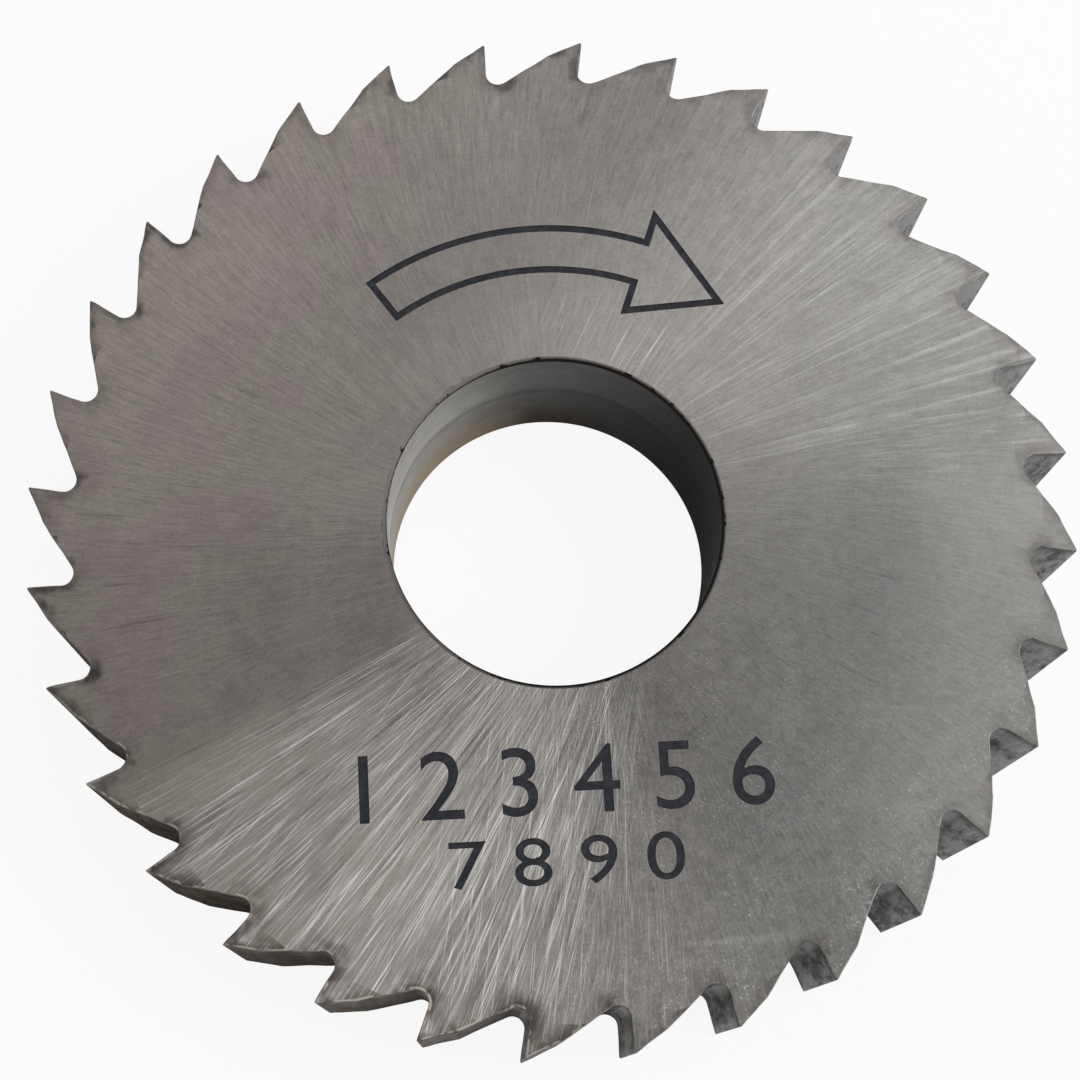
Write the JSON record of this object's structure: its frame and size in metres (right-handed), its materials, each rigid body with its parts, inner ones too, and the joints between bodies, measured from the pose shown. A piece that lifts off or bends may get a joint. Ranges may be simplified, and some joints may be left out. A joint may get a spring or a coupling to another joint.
{
  "type": "slitting saw",
  "caption": "Small thick slitting saw: a flat ground steel disc with a plain bore and fine hooked teeth with straight gullets round its rim.",
  "frame": {"origin": "centre of the bore on the lower side face", "axes": "+Z along the bore, out of the upper side face; one tooth tip lies on +X and one on +Y; seen from +Z the teeth point clockwise"},
  "size_m": [0.025, 0.025, 0.005],
  "materials": {
    "ground_steel": "satin surface-ground sides with a radial lay, dark milled gullets"
  },
  "bodies": {
    "root": {"slitting_saw": "ground_steel"}
  },
  "joints": []
}
